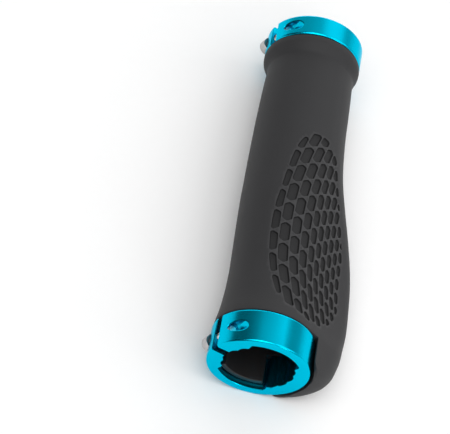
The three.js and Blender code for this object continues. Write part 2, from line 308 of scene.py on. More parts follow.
def polar(radius, angle, y):
    """Points at a radius and angle round the bar."""
    radius, angle, y = np.broadcast_arrays(radius, angle, y)
    return np.stack([radius * np.cos(angle), y, radius * np.sin(angle)], axis=-1)


# Cover skin
def smoothstep(value, start, end):
    share = np.clip((value - start) / (end - start), 0, 1)
    return share * share * (3 - 2 * share)


def profile_curve(points):
    """A smooth curve through (place, size) points, the same cubic as the CAD model's."""
    places, sizes = np.array(points, dtype=float).T
    last = len(places) - 1

    def size_at(place):
        place = np.clip(place, places[0], places[-1])
        after = np.clip(np.searchsorted(places, place, side="right"), 1, last)
        before = after - 1
        earlier = np.where(before > 0, before - 1, after)
        later = np.where(after < last, after + 1, before)
        gap = places[after] - places[before]
        p = (place - places[before]) / gap
        pull_back = 0.5 * gap / (places[before] - places[earlier])
        pull_on = 0.5 * gap / (places[later] - places[after])
        return (
            sizes[earlier] * pull_back * (-p**3 + 2 * p**2 - p)
            + sizes[before]
            * ((1 + pull_back) * p**3 - (1.5 + 2 * pull_back) * p**2 + (pull_back - 0.5) * p + 1)
            + sizes[after] * (-(1 + pull_on) * p**3 + (1.5 + pull_on) * p**2 + 0.5 * p)
            + sizes[later] * pull_on * (p**3 - p**2)
        )

    return size_at


wall_at = profile_curve(WALL_PROFILE)
wing_at = profile_curve(WING_PROFILE)


def section(y):
    """Sizes of the outline at y: body radius, wing centre, wing radius, arc of the tip, flank, half round."""
    place = y - END_Y
    climb = smoothstep(y, FLARE_START_Y, LIP_START_Y)
    body = (COVER_BORE + wall_at(place)) * (1 - climb) + RING_RADIUS * climb
    past_round = np.clip(1 - place / WING_END_ROUND, 0, 1)
    rounding = WING_END_ROUND * (1 - np.sqrt(1 - past_round**2))
    rise = np.maximum(wing_at(place) * (1 - climb) - rounding, 0)
    lean = math.cos(FLANK_ANGLE)
    centre = rise / (1 - lean)
    tip = body - lean * centre
    tip_arc = tip * FLANK_ANGLE
    flank = centre * math.sin(FLANK_ANGLE)
    return body, centre, tip, tip_arc, flank, tip_arc + flank + body * (math.pi - FLANK_ANGLE)


def skin(arc, y, lift=0.0):
    """Points of the skin at an arc length from the wing's tip, lifted off along the normal."""
    arc, y, lift = np.broadcast_arrays(np.asarray(arc, dtype=float), y, lift)
    body, centre, tip, tip_arc, flank, _ = section(y)
    run = np.abs(arc)
    past_tip = run - tip_arc
    on_body = past_tip > flank
    turn = np.where(past_tip < 0, run / tip, FLANK_ANGLE + np.where(on_body, past_tip - flank, 0) / body)
    slide = np.where(on_body, 0, np.maximum(past_tip, 0))
    radius = np.where(on_body, body, tip) + lift
    x = np.where(on_body, 0, centre) + radius * np.cos(turn) - slide * math.sin(FLANK_ANGLE)
    z = radius * np.sin(turn) + slide * math.cos(FLANK_ANGLE)
    return np.stack([x, y, np.where(arc < 0, -z, z)], axis=-1)


def half_round(y):
    return section(y)[5]


def lip(distance, radius):
    """How far a rounded edge lies below the skin, at a distance from the cut."""
    rest = np.maximum(radius - distance, 0)
    return radius - np.sqrt(radius**2 - rest**2)


def wrap_edge_x(y):
    """Where the wrap's side edge runs: straight along the bar, then in round a corner at the open end."""
    past_turn = np.maximum(END_Y + WRAP_CORNER - y, 0)
    turn_in = WRAP_CORNER - np.sqrt(np.maximum(WRAP_CORNER**2 - past_turn**2, 0))
    return WRAP_RADIUS * math.cos(WRAP_HALF_ANGLE) + turn_in


def wrap_edge_arc(y):
    arcs = np.linspace(0, LONGEST_HALF / 2, ARC_SAMPLES)
    return float(np.interp(-wrap_edge_x(y), -skin(arcs, y)[:, 0], arcs))


def spaced(start, end, step):
    return list(np.linspace(start, end, max(2, round(abs(end - start) / step) + 1)))


def thinned(values, keep, gap):
    """The values to keep, and those of the others that aren't closer than the gap to one of them."""
    far = [value for value in values if min(abs(value - kept) for kept in keep) > gap]
    return sorted(far + keep)


def column_shares():
    """Places round the skin as shares of half the way round, with the wrap's edge among them."""
    edge = wrap_edge_arc(COVER_START_Y) / half_round(COVER_START_Y)
    near_edge = [
        edge + sign * step / LONGEST_HALF for step in FINE_STEPS for sign in (-1, 1) if step or sign > 0
    ]
    parting = [0.0] + [step / LONGEST_HALF for step in PARTING_STEPS]
    shares = spaced(0, 1, GRID_STEP / LONGEST_HALF)
    shares = thinned(shares, near_edge + parting, COLUMN_GAP / LONGEST_HALF)
    return [share for share in shares if share <= 1], edge


def row_places():
    """Places along the bar, fine at both cut ends and in the flare."""
    flare_y = FLARE_START_Y - FLARE_MARGIN
    return (
        [COVER_START_Y + step for step in FINE_STEPS]
        + spaced(COVER_START_Y + FINE_STEPS[-1], flare_y, GRID_STEP)[1:]
        + spaced(flare_y, COVER_END_Y - FINE_STEPS[-1], FLARE_STEP)[1:]
        + [COVER_END_Y - step for step in reversed(FINE_STEPS[:-1])]
    )


def collar_lift(arc, y):
    """Height of the skin over its plain form: rounded at the cut edges, raised at the parting line."""
    edge_arc = wrap_edge_arc(COVER_START_Y)
    inside = np.maximum(edge_arc - np.abs(arc), 0)
    outside = np.maximum(np.abs(arc) - edge_arc, 0)
    radius = WRAP_LIP + (COLLAR_LIP - WRAP_LIP) * smoothstep(outside, 0, LIP_BLEND)
    sunk = lip(np.hypot(inside, y - COVER_START_Y), radius) + lip(COVER_END_Y - y, END_LIP)
    return parting_lift(arc, y) - sunk


def parting_lift(arc, y):
    fade = 1 - smoothstep(y, *PARTING_FADE_Y)
    return PARTING_HEIGHT * fade * np.exp(-((arc / PARTING_WIDTH) ** 2))


# Honeycomb patch, laid out flat as (arc, y)
def patch_border():
    points = np.array([(arc, END_Y + place) for place, arc in PATCH_PROFILE])
    before, after, beyond = np.roll(points, 1, 0), np.roll(points, -1, 0), np.roll(points, -2, 0)
    steps = [
        0.5 * (
            2 * points + (after - before) * t
            + (2 * before - 5 * points + 4 * after - beyond) * t**2
            + (3 * points - before - 3 * after + beyond) * t**3
        )
        for t in np.arange(BORDER_STEPS) / BORDER_STEPS
    ]
    return np.stack(steps, axis=1).reshape(-1, 2)


def clip(outline, start, end, inset=0.0):
    """The part of a convex outline to the left of an edge, or of that edge moved in."""
    along = (end - start) / np.linalg.norm(end - start)
    room = along[0] * (outline[:, 1] - start[1]) - along[1] * (outline[:, 0] - start[0]) - inset
    kept = []
    for i in range(len(outline)):
        if (room[i] > 0) != (room[i - 1] > 0):
            step = outline[i] - outline[i - 1]
            kept.append(outline[i - 1] + step * room[i - 1] / (room[i - 1] - room[i]))
        if room[i] > 0:
            kept.append(outline[i])
    return np.array(kept).reshape(-1, 2)


def clip_by(outline, border, inset=0.0):
    for start, end in zip(border, np.roll(border, -1, 0)):
        if len(outline) > 2 and np.linalg.norm(end - start) > NO_EDGE:
            outline = clip(outline, start, end, inset)
    return outline


def area(outline):
    x, y = outline.T
    return 0.5 * np.sum(x * np.roll(y, -1) - np.roll(x, -1) * y)


def cell_outline(column, row):
    pitch = CELL_PITCH + CELL_PITCH_GROWTH * column
    half_width = (COLUMN_PITCH + COLUMN_PITCH_GROWTH * column - RIB_WIDTH) / 2
    half_cell = (pitch - RIB_WIDTH) / 2
    shoulder = half_cell - CELL_POINT
    past_bow = (row + 0.5 * (column % 2)) * pitch
    bowed = min(past_bow, COLUMN_BOW_END)
    lean = bowed / COLUMN_BOW_RADIUS
    column_arc = COLUMN_BOW_ARC + COLUMN_PITCH * column + COLUMN_PITCH_GROWTH * column**2 / 2
    centre_arc = column_arc - lean * (past_bow - bowed / 2)
    centre_y = END_Y + COLUMN_BOW_PLACE + past_bow
    outline = [
        (half_width, -shoulder), (half_width, shoulder), (0, half_cell),
        (-half_width, shoulder), (-half_width, -shoulder), (0, -half_cell),
    ]
    return np.array([(centre_arc + across - lean * along, centre_y + along) for across, along in outline])


def cell_core(outline):
    """The outline drawn in by its corner radius, and that radius."""
    for share in CORNER_SHARES:
        core = clip_by(outline, outline, CELL_ROUND * share)
        if len(core) > 2 and area(core) > LEAST_CORE_SHARE * area(outline):
            return without_short_edges(core), CELL_ROUND * share
    return None, 0


def without_short_edges(outline):
    lengths = np.linalg.norm(outline - np.roll(outline, 1, 0), axis=1)
    return outline[lengths > SHORT_EDGE]


def round_cell(core):
    """Points of the core, each with the way outwards, so that core + radius * way is a rounded outline."""
    starts, ways = [], []
    edges = np.roll(core, -1, 0) - core
    angles = np.arctan2(-edges[:, 0], edges[:, 1])
    for i, corner in enumerate(core):
        turn = (angles[i] - angles[i - 1]) % (2 * math.pi)
        steps = max(1, math.ceil(turn / CORNER_STEP))
        for step in range(steps + 1):
            starts.append(corner)
            ways.append(angles[i - 1] + turn * step / steps)
        length = np.linalg.norm(edges[i])
        parts = math.ceil(length / CELL_STEP)
        for part in range(1, parts):
            starts.append(corner + edges[i] * part / parts)
            ways.append(angles[i])
    ways = np.array(ways)
    return np.array(starts), np.stack([np.cos(ways), np.sin(ways)], axis=-1)


def patch_cells():
    """Each pocket as its rounded outlines from the lip to the floor, with the depth of each."""
    border = patch_border()
    cells = []
    for column in range(-CELL_COUNT, CELL_COUNT + 1):
        for row in range(-CELL_COUNT, CELL_COUNT + 1):
            outline = clip_by(cell_outline(column, row), border)
            if len(outline) < 3 or area(outline) < LEAST_CELL_AREA:
                continue
            core, radius = cell_core(outline)
            if core is None:
                continue
            starts, ways = round_cell(core)
            scale = min(1, radius / (WALL_ROOM * POCKET_PROFILE[-1][0]))
            cells.append([
                (starts + ways * (radius - inset * scale), depth * min(1, SHALLOWING * scale))
                for inset, depth in POCKET_PROFILE
            ])
    return cells


def in_outline(points, outline):
    """Which points lie in a convex outline."""
    inside = np.ones(len(points), dtype=bool)
    for start, end in zip(outline, np.roll(outline, -1, 0)):
        along = end - start
        inside &= along[0] * (points[:, 1] - start[1]) - along[1] * (points[:, 0] - start[0]) > 0
    return inside


def rib_triangles(rim, inner, cells):
    """Triangles between a patch's rim and its pockets, whose corners count through rim, inner and lips."""
    lips = [cell[0][0] for cell in cells]
    points = np.concatenate([rim, inner, *lips])
    faces = [list(range(len(rim)))]
    start = len(rim) + len(inner)
    for outline in lips:
        faces.append(list(range(start, start + len(outline))))
        start += len(outline)
    result = delaunay_2d_cdt([Vector(point) for point in points], [], faces, 0, TRIANGLE_GAP, True)
    origins, triangles, owners = result[3], result[2], result[5]
    return [
        [origins[corner][0] for corner in triangle]
        for triangle, owner in zip(triangles, owners) if list(owner) == [0]
    ]


def add_patch(body, grid, arcs, rows, first, last, low, high, cells, side):
    """Fills the hole that the grid leaves between two columns and two rows with the pocketed skin."""
    columns = range(first, last + 1)
    loop = (
        [(low, i) for i in columns]
        + [(j, last) for j in range(low + 1, high)]
        + [(high, i) for i in reversed(columns)]
        + [(j, first) for j in range(high - 1, low, -1)]
    )
    rim = np.array([(arcs[j][i], rows[j]) for j, i in loop])
    inner = np.array([
        (arcs[j][i], rows[j]) for j in range(low + 1, high) for i in range(first + 1, last)
    ])
    near = np.zeros(len(inner), dtype=bool)
    for cell in cells:
        outline = cell[0][0]
        middle = outline.mean(axis=0)
        away = outline - middle
        wider = 1 + POCKET_MARGIN / np.linalg.norm(away, axis=1)
        near |= in_outline(inner, middle + away * wider[:, None])
    inner = inner[~near]
    triangles = rib_triangles(rim, inner, cells)
    corner_of = [grid[j][side * i] for j, i in loop]
    corner_of += body.row(skin(side * inner[:, 0], inner[:, 1]))
    for cell in cells:
        loops = [
            body.row(
                skin(side * outline[:, 0], outline[:, 1], -depth),
                -depth / POCKET_DEPTH if depth else 1,
            )
            for outline, depth in cell
        ]
        corner_of += loops[0]
        for upper, lower in zip(loops, loops[1:]):
            body.strip(upper, lower, closed=True)
        floor, depth = cell[-1]
        middle = floor.mean(axis=0)
        body.fan(loops[-1], skin(side * middle[0], middle[1], -depth), -depth / POCKET_DEPTH)
    body.faces.extend(tuple(corner_of[corner] for corner in triangle) for triangle in triangles)


def grip_cover(material):
    shares, edge_share = column_shares()
    rows = row_places()
    seam = len(shares) - 1
    edge = int(np.argmin(np.abs(np.array(shares) - edge_share)))
    shares = np.array(shares)
    ways = np.arange(-seam + 1, seam + 1)
    signed = np.sign(ways) * shares[np.abs(ways)]
    cells = patch_cells()
    lips = np.concatenate([cell[0][0] for cell in cells])
    low = int(np.searchsorted(rows, lips[:, 1].min() - PATCH_MARGIN)) - 1
    high = int(np.searchsorted(rows, lips[:, 1].max() + PATCH_MARGIN))
    lip_shares = lips[:, 0] / half_round(lips[:, 1])
    margin = PATCH_MARGIN / LONGEST_HALF
    first = int(np.searchsorted(shares, lip_shares.min() - margin)) - 1
    last = int(np.searchsorted(shares, lip_shares.max() + margin))

    body = Body()
    grid, arcs = [], []
    for j, y in enumerate(rows):
        arc = signed * half_round(y)
        in_patch = (low < j < high) & (np.abs(ways) > first) & (np.abs(ways) < last)
        made = body.row(skin(arc[~in_patch], y, collar_lift(arc[~in_patch], y)))
        line = dict(zip(ways[~in_patch].tolist(), made))
        line[-seam] = line[seam]
        grid.append(line)
        arcs.append(dict(zip(ways.tolist(), arc.tolist())))
    for j in range(len(rows) - 1):
        for i in range(-seam, seam):
            nearer, farther = sorted((abs(i), abs(i + 1)))
            if low <= j < high and first <= nearer and farther <= last:
                continue
            body.faces.append((grid[j][i], grid[j][i + 1], grid[j + 1][i + 1], grid[j + 1][i]))
    for side in (1, -1):
        add_patch(body, grid, arcs, rows, first, last, low, high, cells, side)

    around = ways.tolist()
    angles = np.arctan2(*skin(signed * half_round(rows[0]), rows[0])[:, [2, 0]].T)
    end_angles = np.arctan2(*skin(signed * half_round(rows[-1]), rows[-1])[:, [2, 0]].T)
    bore_start = body.row(polar(COVER_BORE, angles, COVER_START_Y))
    bore_end = body.row(polar(COVER_BORE, end_angles, COVER_END_Y))
    body.strip(bore_start, bore_end, closed=True)
    body.strip(bore_end, [grid[-1][i] for i in around], closed=True)
    add_wrap(body, grid[0], dict(zip(around, bore_start)), shares, edge, seam)

    piece = add_object("rubber_cover", body.mesh("rubber_cover"))
    finish_piece(piece, "grip_cover", material, crease=COVER_CREASE)


def add_wrap(body, collar, bore, shares, edge, seam):
    """The wing's wrap over the outer ring, and the face behind that ring."""
    ways = np.arange(-edge, edge + 1)
    across = np.sign(ways) * shares[np.abs(ways)] / shares[edge]

    def inner_row(y):
        return body.row(polar(WRAP_RADIUS, across * math.acos(wrap_edge_x(y) / WRAP_RADIUS), y))

    outer = [collar[i] for i in ways.tolist()]
    inner = inner_row(COVER_START_Y)
    body.strip([bore[i] for i in ways.tolist()], inner)
    for i in range(-seam, seam):
        if abs(i) < edge or abs(i + 1) < edge:
            continue
        face = [bore.get(i, bore[seam]), bore[i + 1], collar[i + 1], collar[i]]
        if i == edge:
            face.append(inner[-1])
        if i + 1 == -edge:
            face.insert(2, inner[0])
        body.faces.append(tuple(face))
    length = COVER_START_Y - END_Y
    for quarter in np.linspace(math.pi / 2, 0, WRAP_ROWS)[1:]:
        y = END_Y + length * (1 - math.cos(quarter))
        edge_arc = wrap_edge_arc(y)
        arc = across * edge_arc
        lip_radius = WRAP_LIP * smoothstep(y - END_Y, 0, LIP_BLEND) + LEAST_LIP
        lift = parting_lift(arc, y) - lip(edge_arc - np.abs(arc), lip_radius)
        next_outer = body.row(skin(arc, y, lift))
        next_inner = inner_row(y)
        body.strip(outer, next_outer)
        body.strip(inner, next_inner)
        body.faces.append((outer[0], next_outer[0], next_inner[0], inner[0]))
        body.faces.append((outer[-1], next_outer[-1], next_inner[-1], inner[-1]))
        outer, inner = next_outer, next_inner
    body.strip(outer, inner)


# Lock rings
def bore_radius(angle):
    """The bore's radius at an angle: teeth on the lands at -X and +X, plain notches above and below."""
    from_land = abs((angle + math.pi / 2) % math.pi - math.pi / 2)
    share = (from_land / LAND_HALF_ANGLE + 1) / 2 * TEETH_PER_LAND
    tooth = LAND_RADIUS + TOOTH_DEPTH * math.sin(math.pi * (share % 1)) * (from_land < LAND_HALF_ANGLE)
    climb = float(smoothstep(from_land, LAND_HALF_ANGLE - NOTCH_SLOPE, LAND_HALF_ANGLE + NOTCH_SLOPE))
    return tooth + (NOTCH_RADIUS - tooth) * climb


def ring_angles():
    """Angles round the ring from one side of the slot to the other, close together on the notches' slopes."""
    step = 2 * LAND_HALF_ANGLE / (TEETH_PER_LAND * STEPS_PER_TOOTH)
    limit = math.pi - math.asin(SLOT_WIDTH / 2 / (LAND_RADIUS + TOOTH_DEPTH))
    slot_edge = SLOT_EDGE / RING_RADIUS
    angles = {0.0, limit - slot_edge, limit}
    for start, end, parts in [
        (0, LAND_HALF_ANGLE, round(LAND_HALF_ANGLE / step)),
        (LAND_HALF_ANGLE, LAND_HALF_ANGLE + NOTCH_SLOPE, NOTCH_SLOPE_STEPS),
        (LAND_HALF_ANGLE + NOTCH_SLOPE, math.pi / 2, round(LAND_HALF_ANGLE / step)),
    ]:
        spread = np.linspace(start, end, parts + 1)[1:]
        mirrored = math.pi - spread
        angles.update(spread.tolist())
        angles.update(mirrored[mirrored < limit - 2 * slot_edge].tolist())
    return np.array(sorted(angles | {-angle for angle in angles})), limit


def lock_ring(node, material):
    start_y, end_y = span(node)
    angles, limit = ring_angles()
    outer_limit = math.pi - math.asin(SLOT_WIDTH / 2 / RING_RADIUS)
    outer_angles = angles * outer_limit / limit
    bores = np.array([bore_radius(angle) for angle in angles])
    ease = np.zeros(len(angles))
    ease[[0, -1]] = SLOT_EDGE
    body = Body()
    ends = [(start_y, 1), (end_y, -1)]
    outer = [
        body.row(polar(RING_RADIUS - inset - ease, outer_angles, y + way * rise))
        for (y, way), profile in zip(ends, (CHAMFER_PROFILE, CHAMFER_PROFILE[::-1]))
        for inset, rise in profile
    ]
    inner = [
        body.row(polar(bores + inset + ease, angles, y))
        for y, inset in [
            (end_y, BORE_CHAMFER), (end_y - BORE_CHAMFER, 0),
            (start_y + BORE_CHAMFER, 0), (start_y, BORE_CHAMFER),
        ]
    ]
    lines = outer + inner
    for first, second in zip(lines, lines[1:] + lines[:1]):
        body.strip(first, second)
    body.faces.append(tuple(line[0] for line in lines))
    body.faces.append(tuple(line[-1] for line in lines))
    ring = add_object(node, body.mesh(node))
    middle_y = (start_y + end_y) / 2
    hole = BOLT_RADIUS + SEAT_GAP
    far = 2 * RING_RADIUS
    cut(
        ring,
        bolt_rod([(hole, -HEAD_SEAT - PAST), (hole, far)], middle_y),
        bolt_rod([(HEAD_RADIUS + SEAT_GAP, -far), (HEAD_RADIUS + SEAT_GAP, -HEAD_SEAT)], middle_y),
        rim_chamfer(hole, middle_y),
    )
    ring.name = node + "_turned"
    finish_piece(ring, node, material)
    round_shading(ring.data)


def round_shading(mesh):
    """Gives the ring's round outside the normals of a true round, also beside the bolt holes."""
    normals = []
    for face in mesh.polygons:
        for loop in face.loop_indices:
            place = mesh.vertices[mesh.loops[loop].vertex_index].co
            radial = Vector((place.x, 0, place.z)).normalized()
            turned = abs(math.hypot(place.x, place.z) - RING_RADIUS * MM) < ON_ROUND * MM
            on_round = turned and face.normal.dot(radial) > LEAST_FACING
            normals.append(radial if on_round else mesh.corner_normals[loop].vector)
    mesh.normals_split_custom_set(normals)


def bolt_rod(profile, y, steps=ROUND_STEPS):
    """A round tool across the ring at the bolt's place, from (radius, z) points."""
    turn = np.linspace(0, 2 * math.pi, steps, endpoint=False)
    body = Body()
    rows = [
        body.row(np.stack([
            radius * np.cos(turn) - BOLT_OFFSET, y + radius * np.sin(turn), np.full(steps, z),
        ], -1))
        for radius, z in profile
    ]
    for first, second in zip(rows, rows[1:]):
        body.strip(first, second, closed=True)
    body.faces.extend([tuple(rows[0]), tuple(rows[-1])])
    return add_object("tool", body.mesh("tool"))


def rim_chamfer(radius, y):
    """A four-sided loop along the edge where a bolt hole leaves the ring's round, to cut off that edge."""
    turn = np.linspace(0, 2 * math.pi, ROUND_STEPS, endpoint=False)
    x = radius * np.cos(turn) - BOLT_OFFSET
    rim = np.stack([x, y + radius * np.sin(turn), np.sqrt(RING_RADIUS**2 - x**2)], -1)
    normal = rim * (1, 0, 1) / RING_RADIUS
    outward = np.stack([np.cos(turn), np.sin(turn), np.zeros(ROUND_STEPS)], -1)
    along_round = outward - normal * np.sum(outward * normal, axis=1)[:, None]
    along_round /= np.linalg.norm(along_round, axis=1)[:, None]
    body = Body()
    inward = np.array((0, 0, -1))
    rows = [body.row(rim + RIM_CHAMFER * way) for way in (along_round, inward, -along_round, -inward)]
    for first, second in zip(rows, rows[1:] + rows[:1]):
        body.strip(first, second, closed=True)
    return add_object("tool", body.mesh("tool"))


# Pinch bolts
def pinch_bolt(node, material):
    start_y, end_y = span(node)
    y = (start_y + end_y) / 2
    seat_z = -HEAD_SEAT - SEAT_GAP
    turn = np.linspace(0, 2 * math.pi, ROUND_STEPS, endpoint=False)
    body = Body()

    def ring_at(radius, z):
        radius, z = np.broadcast_arrays(radius, z, turn)[:2]
        return body.row(np.stack([radius * np.cos(turn) - BOLT_OFFSET, y + radius * np.sin(turn), z], -1))

    def thread(z):
        """The shank's radius round one row: a ridge that winds once in a pitch, fading out to the head."""
        winding = (z / THREAD_PITCH + turn / (2 * math.pi)) % 1
        ridge = THREAD_DEPTH * np.clip(RIDGE_SLOPE * np.abs(2 * winding - 1) - RIDGE_FLAT, 0, 1)
        thread_z = seat_z + BOLT_LENGTH - THREAD_LENGTH
        return BOLT_RADIUS - ridge * smoothstep(z, thread_z - THREAD_FADE, thread_z)

    tip_z = seat_z + BOLT_LENGTH
    shank = np.linspace(seat_z, tip_z - HEAD_EDGE, round(BOLT_LENGTH / THREAD_PITCH * THREAD_ROWS))
    rows = [
        ring_at(HEAD_RADIUS - HEAD_EDGE, seat_z - HEAD_HEIGHT),
        ring_at(HEAD_RADIUS - HEAD_EDGE_ROUND, seat_z - HEAD_HEIGHT + HEAD_EDGE_ROUND),
        ring_at(HEAD_RADIUS, seat_z - HEAD_HEIGHT + HEAD_EDGE),
        ring_at(HEAD_RADIUS, seat_z - UNDERHEAD_EDGE),
        ring_at(HEAD_RADIUS - UNDERHEAD_EDGE, seat_z),
        *(ring_at(thread(z), z) for z in shank),
        ring_at(BOLT_RADIUS - HEAD_EDGE, tip_z),
    ]
    for first, second in zip(rows, rows[1:]):
        body.strip(first, second, closed=True)
    body.faces.extend([tuple(rows[0]), tuple(rows[-1])])
    bolt = add_object(node + "_threaded", body.mesh(node))
    hex_radius = SOCKET_WIDTH / math.sqrt(3)
    top = seat_z - HEAD_HEIGHT
    bottom = top + SOCKET_DEPTH
    point_radius, point_depth = SOCKET_POINT
    socket = [(hex_radius, top - PAST), (hex_radius, bottom), (point_radius, bottom + point_depth)]
    cut(bolt, bolt_rod(socket, y, steps=6))
    finish_piece(bolt, node, material)


# Sleeve
def inner_sleeve(material):
    start_y, end_y = span("inner_sleeve")
    steps = 2 * ROUND_STEPS
    turn = np.linspace(0, 2 * math.pi, steps, endpoint=False)
    body = Body()
    edge = SLEEVE_EDGE
    rows = [
        body.row(polar(radius, turn, y)) for radius, y in [
            (SLEEVE_RADIUS - edge, start_y), (SLEEVE_RADIUS, start_y + edge),
            (SLEEVE_RADIUS, end_y - edge), (SLEEVE_RADIUS - edge, end_y),
            (SLEEVE_BORE + edge, end_y), (SLEEVE_BORE, end_y - edge),
            (SLEEVE_BORE, start_y + edge), (SLEEVE_BORE + edge, start_y),
        ]
    ]
    for first, second in zip(rows, rows[1:] + rows[:1]):
        body.strip(first, second, closed=True)
    sleeve = add_object("moulded_sleeve", body.mesh("moulded_sleeve"))
    reaches_y = (start_y - PAST, COVER_START_Y), (COVER_END_Y, end_y + PAST)
    cut(sleeve, *(window(middle, *reach) for middle in (0, math.pi) for reach in reaches_y))
    finish_piece(sleeve, "inner_sleeve", material)


def window(middle, start_y, end_y):
    """A wedge that cuts the sleeve back beside its lugs."""
    body = Body()
    angles = np.linspace(middle - WINDOW_HALF_ANGLE, middle + WINDOW_HALF_ANGLE, WINDOW_STEPS)
    rows = [
        body.row(np.vstack([[0, y, 0], polar(2 * SLEEVE_RADIUS, angles, y)])) for y in (start_y, end_y)
    ]
    body.strip(*rows, closed=True)
    body.faces.extend(tuple(row) for row in rows)
    return add_object("window", body.mesh("window"))


# Finishes
class Signal:
    """A node's output with the signs of arithmetic."""

    def __init__(self, finish, socket):
        self.finish = finish
        self.socket = socket

    def _with(self, operation, first, second):
        return self.finish.node("Math", {"operation": operation}, {0: first, 1: second})

    def __add__(self, other):
        return self._with("ADD", self, other)

    def __radd__(self, other):
        return self._with("ADD", other, self)

    def __sub__(self, other):
        return self._with("SUBTRACT", self, other)

    def __rsub__(self, other):
        return self._with("SUBTRACT", other, self)

    def __mul__(self, other):
        return self._with("MULTIPLY", self, other)

    def __rmul__(self, other):
        return self._with("MULTIPLY", other, self)


class Finish:
    """A material, or the world, put together from nodes."""

    def __init__(self, owner):
        owner.use_nodes = True
        self.owner = owner
        self.tree = owner.node_tree
        self.tree.nodes.clear()

    def node(self, kind, settings=None, sockets=None, output=0):
        node = self.tree.nodes.new("ShaderNode" + kind)
        for name, value in (settings or {}).items():
            if name == "stops":
                self.set_stops(node.color_ramp, value)
            else:
                setattr(node, name, value)
        for name, value in (sockets or {}).items():
            if isinstance(value, Signal):
                self.tree.links.new(value.socket, node.inputs[name])
            else:
                node.inputs[name].default_value = value
        return Signal(self, node.outputs[output]) if node.outputs else None

    def set_stops(self, ramp, stops):
        while len(ramp.elements) < len(stops):
            ramp.elements.new(1)
        for element, (place, colour) in zip(ramp.elements, stops):
            element.position = place
            element.color = (*colour, 1)

    def place(self):
        """The place on the piece, in millimetres."""
        where = self.node("TexCoord", output="Object")
        return self.node("VectorMath", {"operation": "SCALE"}, {0: where, "Scale": 1 / MM})

    def noise(self, size, detail=3, roughness=0.55, vector=None):
        """Noise from 0 to 1 whose lumps are about that many millimetres across."""
        return self.node("TexNoise", {}, {
            "Vector": vector or self.place(), "Scale": 1 / size, "Detail": detail, "Roughness": roughness,
        })

    def blend(self, amount, first, second):
        """One colour turning into another."""
        return self.node("Mix", {"data_type": "RGBA"}, {
            0: amount, 6: (*first, 1) if isinstance(first, tuple) else first,
            7: (*second, 1) if isinstance(second, tuple) else second,
        }, output=2)

    def climb(self, value, start, end):
        """From 0 to 1 as the value climbs from the start to the end."""
        return self.node("MapRange", {"interpolation_type": "SMOOTHSTEP"}, {
            "Value": value, "From Min": start, "From Max": end,
        })

    def bump(self, height, distance, strength):
        """A normal from a height of 0 to 1, where 1 stands that many millimetres proud."""
        return self.node("Bump", {}, {"Height": height, "Distance": distance * MM, "Strength": strength})

    def surface(self, **sockets):
        named = {
            name.replace("_", " ").title().replace("Ior", "IOR"): value for name, value in sockets.items()
        }
        shader = self.node("BsdfPrincipled", {}, named)
        self.node("OutputMaterial", {}, {"Surface": shader})
        return self.owner


def new_finish(name):
    return Finish(bpy.data.materials.new(name))


def grey_stops(levels):
    return [(place, (level,) * 3) for place, level in levels]


# How the rubber's tone follows its relief, as painted light and shade: pocket floors darkened as painted
# shade, corners and walls darkest as painted shade, plain skin as it is, ribs lightened as painted light
RELIEF_PAINTED_SHADING = [(0, 0.68), (0.015, 0.54), (0.08, 0.3), (0.3, 0.35), (0.5, 1), (1, 1.46)]


def rubber():
    """Matt moulded rubber: an even grain, soft patches from handling, polished ribs and dull pockets, with
    painted shade darkening the pockets and painted light brightening the ribs.
    """
    finish = new_finish("moulded_rubber")
    relief = finish.node("Attribute", {"attribute_name": "relief"}, output="Fac")
    patches = finish.noise(9, detail=4)
    grain = finish.noise(0.22, detail=2)
    tone = finish.blend(patches, (0.021, 0.021, 0.022), (0.029, 0.029, 0.031))
    tone = finish.blend(grain * 0.35, tone, (0.044, 0.044, 0.046))
    height = 0.5 + 0.5 * relief
    # Painted shade darkens the pockets' floors, walls and corners, and painted light brightens the ribs
    painted_shading = finish.node("ValToRGB", {"stops": grey_stops(RELIEF_PAINTED_SHADING)}, {0: height})
    return finish.surface(
        base_color=finish.node("VectorMath", {"operation": "MULTIPLY"}, {0: tone, 1: painted_shading}),
        roughness=0.64 + 0.14 * patches - 0.14 * height,
        specular_ior_level=0.3,
        normal=finish.bump(grain + 0.8 * finish.noise(0.7), 0.02, 0.7),
    )


def nylon():
    """Glass-filled nylon: near black, with a slight sheen and a fine mottle."""
    finish = new_finish("moulded_nylon")
    mottle = finish.noise(1.1, detail=4)
    return finish.surface(
        base_color=finish.blend(mottle, (0.008, 0.007, 0.007), (0.016, 0.013, 0.013)),
        roughness=0.42 + 0.18 * mottle,
        specular_ior_level=0.5,
        normal=finish.bump(finish.noise(0.35, detail=2), 0.015, 0.6),
    )


def anodised():
    """Cyan anodised aluminium with the fine rings that turning leaves."""
    finish = new_finish("anodised_aluminium")
    where = finish.place()
    split = {axis: finish.node("SeparateXYZ", {}, {0: where}, output=axis) for axis in ("X", "Y", "Z")}
    flat = finish.node("CombineXYZ", {}, {"X": split["X"], "Z": split["Z"]})
    radius = finish.node("VectorMath", {"operation": "LENGTH"}, {0: flat}, output="Value")
    turned = finish.node("CombineXYZ", {}, {"X": radius, "Y": split["Y"]})
    rings = finish.noise(0.2, detail=3, roughness=0.6, vector=turned)
    cloud = finish.noise(5, detail=3)
    return finish.surface(
        base_color=finish.blend(cloud, (0.0, 0.5, 0.72), (0.0, 0.55, 0.77)),
        metallic=1.0,
        roughness=0.18 + 0.06 * rings + 0.04 * cloud,
        specular_tint=(0.45, 0.9, 1.0, 1.0),
        normal=finish.bump(rings, 0.002, 0.4),
    )


def steel():
    """Plated steel, lightly brushed."""
    finish = new_finish("plated_steel")
    where = finish.place()
    along_bolt = finish.node("VectorMath", {"operation": "MULTIPLY"}, {0: where, 1: (1, 1, 0.15)})
    streaks = finish.noise(0.3, detail=3, vector=along_bolt)
    return finish.surface(
        base_color=finish.blend(streaks, (0.4, 0.39, 0.39), (0.55, 0.54, 0.54)),
        metallic=1.0,
        roughness=0.26 + 0.16 * streaks,
        normal=finish.bump(streaks, 0.01, 0.4),
    )


